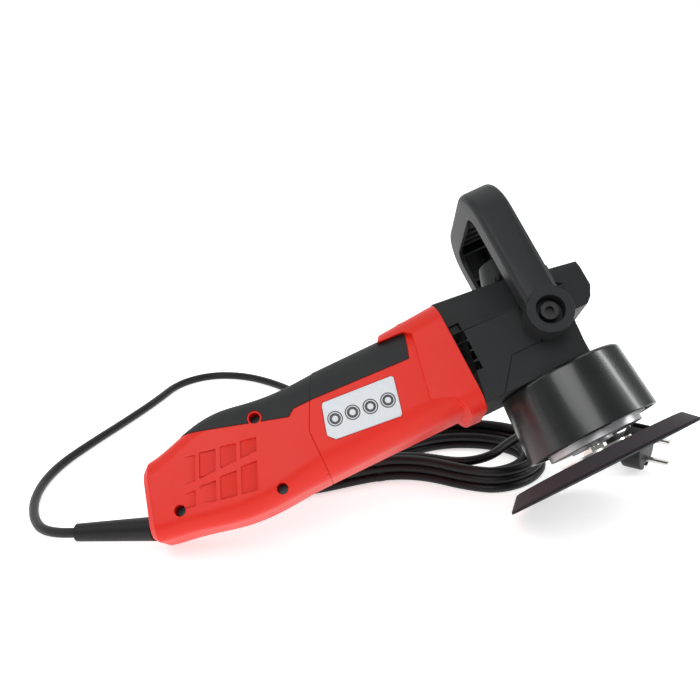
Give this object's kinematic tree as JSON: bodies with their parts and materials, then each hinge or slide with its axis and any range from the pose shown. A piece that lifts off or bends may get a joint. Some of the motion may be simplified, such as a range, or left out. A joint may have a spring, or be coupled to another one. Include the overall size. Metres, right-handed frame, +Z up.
{
  "type": "dual action polisher",
  "caption": "Electric dual action polisher: rear grip housing, motor barrel, bevel gear head with a D-shaped front handle, gloss guard, orbiting round backing plate and bundled flex with plug.",
  "frame": {"origin": "centre of the underside of the box round the tool without its flex, on the surface that it rests on", "axes": "+X from the rear handle to the head along the surface, +Z up; the tool lies in its resting pose, leaning back on its heel and the plate's rim, with the front handle to +Y"},
  "size_m": [0.5171, 0.4778, 0.2479],
  "materials": {
    "red_shell": "satin moulded polyamide, red",
    "soft_grip": "matte elastomer overmould with a fine grain",
    "head_casing": "dark grey satin powder coat on a cast head",
    "handle_plastic": "satin glass-filled plastic, near black",
    "gloss_shroud": "glossy black guard",
    "label": "pale silver plate with four plain dark discs",
    "gear_steel": "machined steel",
    "bright_steel": "plated steel",
    "laminations": "stacked steel laminations",
    "copper": "enamelled copper winding",
    "fan_plastic": "moulded plastic fan",
    "casting": "machined light alloy",
    "insulation": "moulded brush carrier and switch parts",
    "carbon": "graphite",
    "board": "circuit board",
    "plate_body": "moulded foam body of the backing plate, dark grey mauve",
    "hooks": "hook fastening face",
    "flex": "black rubber flex",
    "plug": "moulded rubber plug",
    "tie": "plastic tie",
    "dark_screws": "blackened screws"
  },
  "bodies": {
    "housing": {"rear_handle_right": "red_shell", "rear_grip_right": "soft_grip", "rear_handle_left": "red_shell", "rear_grip_left": "soft_grip", "handle_screws": "dark_screws", "motor_housing": "red_shell", "motor_grip": "soft_grip", "label_plate": "label", "gear_housing": "head_casing", "bearing_cover": "head_casing", "front_handle": "handle_plastic", "front_handle_bolts": "dark_screws", "housing_screws": "dark_screws", "cover_screws": "dark_screws", "terminal_block": "insulation", "cord_clamp": "insulation", "shroud": "gloss_shroud", "shroud_screws": "dark_screws", "field_core": "laminations", "field_coils": "copper", "brush_bracket": "insulation", "brush_holders": "bright_steel", "carbon_brushes": "carbon", "brush_springs": "bright_steel", "top_spindle_bearing": "gear_steel", "low_spindle_bearing": "gear_steel", "front_motor_bearing": "gear_steel", "rear_motor_bearing": "gear_steel", "speed_board": "board", "switch_body": "insulation", "strain_relief": "plug", "cord_lead": "flex", "cord_hank": "flex", "hank_tie": "tie", "cord_tail": "flex", "plug_body": "plug", "plug_pins": "bright_steel"},
    "spindle": {"spindle": "gear_steel", "crown_gear": "gear_steel", "eccentric_carrier": "casting", "counterweight": "casting", "eccentric_bearings": "gear_steel"},
    "motor": {"armature_shaft": "gear_steel", "armature_core": "laminations", "armature_windings": "copper", "commutator": "copper", "cooling_fan": "fan_plastic", "bevel_pinion": "gear_steel"},
    "plate": {"output_spindle": "bright_steel", "hub_disc": "bright_steel", "backing_plate": "plate_body", "hook_face": "hooks", "plate_bolt": "bright_steel"},
    "switch": {"switch_button": "insulation"},
    "dial": {"speed_dial": "insulation"}
  },
  "joints": [
    {"name": "spindle_spin", "type": "hinge", "parent": "housing", "child": "spindle", "pos_m": [0.12701, 0.015, 0.14044], "axis": [-0.2738, 0.5948, 0.7558], "continuous": true},
    {"name": "motor_spin", "type": "hinge", "parent": "housing", "child": "motor", "pos_m": [0.03299, 0.015, 0.10638], "axis": [0.9402, 0, 0.3406], "continuous": true},
    {"name": "plate_spin", "type": "hinge", "parent": "spindle", "child": "plate", "pos_m": [0.15227, -0.04805, 0.05897], "axis": [-0.2738, 0.5948, 0.7558], "continuous": true},
    {"name": "power_switch", "type": "slide", "parent": "housing", "child": "switch", "axis": [0.9402, 0, 0.3406], "range_m": [0, 0.007]},
    {"name": "speed_dial_turn", "type": "hinge", "parent": "housing", "child": "dial", "pos_m": [-0.15685, 0.03178, 0.04027], "axis": [0.2026, 0.8039, -0.5593], "range_deg": [0, 300]}
  ],
  "couplings": [
    {"joint": "motor_spin", "follows": "spindle_spin", "ratio": -3}
  ]
}
